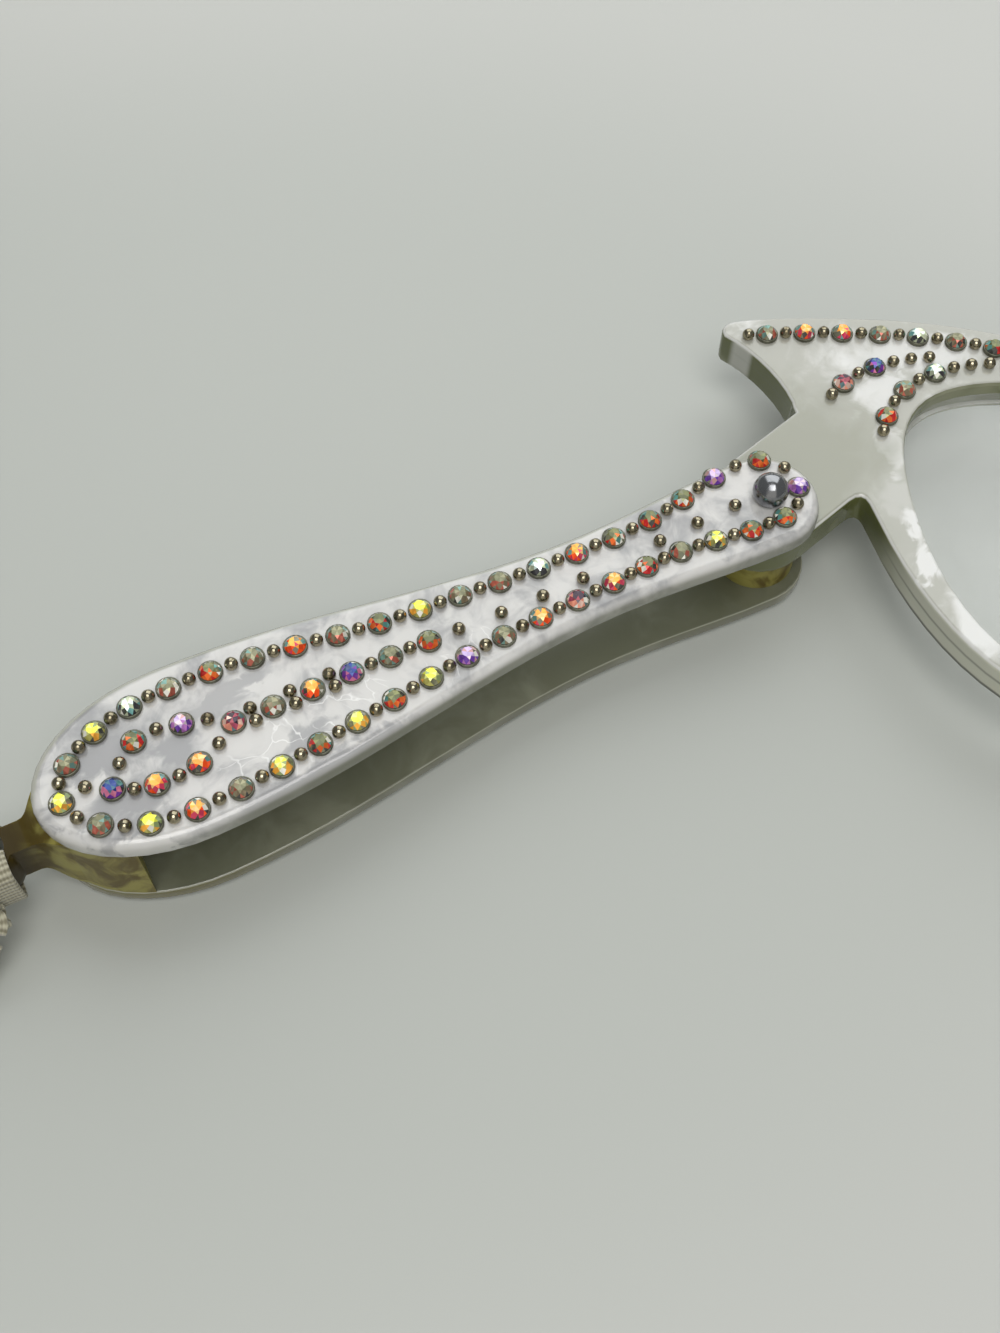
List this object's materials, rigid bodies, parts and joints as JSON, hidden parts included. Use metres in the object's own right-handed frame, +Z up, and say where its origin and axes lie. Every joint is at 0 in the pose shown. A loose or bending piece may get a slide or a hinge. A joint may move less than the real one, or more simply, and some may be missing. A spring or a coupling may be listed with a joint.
{
  "type": "folding lorgnette",
  "caption": "Cat-eye lorgnette in white pearl plastic: rhinestone rows, a bridge hinge and a slotted two-leaf handle that the folded front swings into.",
  "frame": {"origin": "on the swing pivot's axis, on the resting face of the back leaf", "axes": "+Z up out of the front of the glasses, -X along the handle, the open front on the +X side"},
  "size_m": [0.2678, 0.0975, 0.0156],
  "materials": {
    "pearl": "pearl white, polished",
    "amber": "translucent olive amber, polished",
    "lens": "clear",
    "crystal": "rainbow coated, foil backed",
    "stud": "antique, polished",
    "pewter": "dark grey pearl",
    "steel": "plain",
    "rivet": "plain",
    "ribbon": "ribbed weave"
  },
  "bodies": {
    "handle": {"front_leaf": "pearl", "back_leaf": "pearl", "end_spacer": "amber", "pivot_pin": "steel", "pivot_ball": "pewter", "pivot_boss": "amber", "front_washer": "rivet", "rear_washer": "rivet", "handle_edge_stones": "crystal", "handle_inner_stones": "crystal", "handle_edge_studs": "stud", "handle_inner_studs": "stud", "ribbon_loop": "ribbon", "ribbon_knot": "ribbon", "ribbon": "ribbon", "ribbon_coil": "ribbon", "ribbon_end_knot": "ribbon"},
    "near_frame": {"near_rim": "pearl", "near_lens": "lens", "near_stones": "crystal", "near_studs": "stud", "near_hinge_leaf": "steel", "near_hinge_rivets": "rivet", "hinge_pin": "steel"},
    "far_frame": {"far_rim": "pearl", "far_lens": "lens", "far_stones": "crystal", "far_studs": "stud", "far_hinge_leaf": "steel", "far_hinge_rivets": "rivet"}
  },
  "joints": [
    {"name": "handle_swing", "type": "hinge", "parent": "handle", "child": "near_frame", "pos_m": [0, 0, 0.0083], "axis": [0, 0, -1], "range_deg": [0, 130]},
    {"name": "bridge_fold", "type": "hinge", "parent": "near_frame", "child": "far_frame", "pos_m": [0.06407, -0.02166, 0.00625], "axis": [0.4462, 0.8949, 0], "range_deg": [0, 180]}
  ]
}
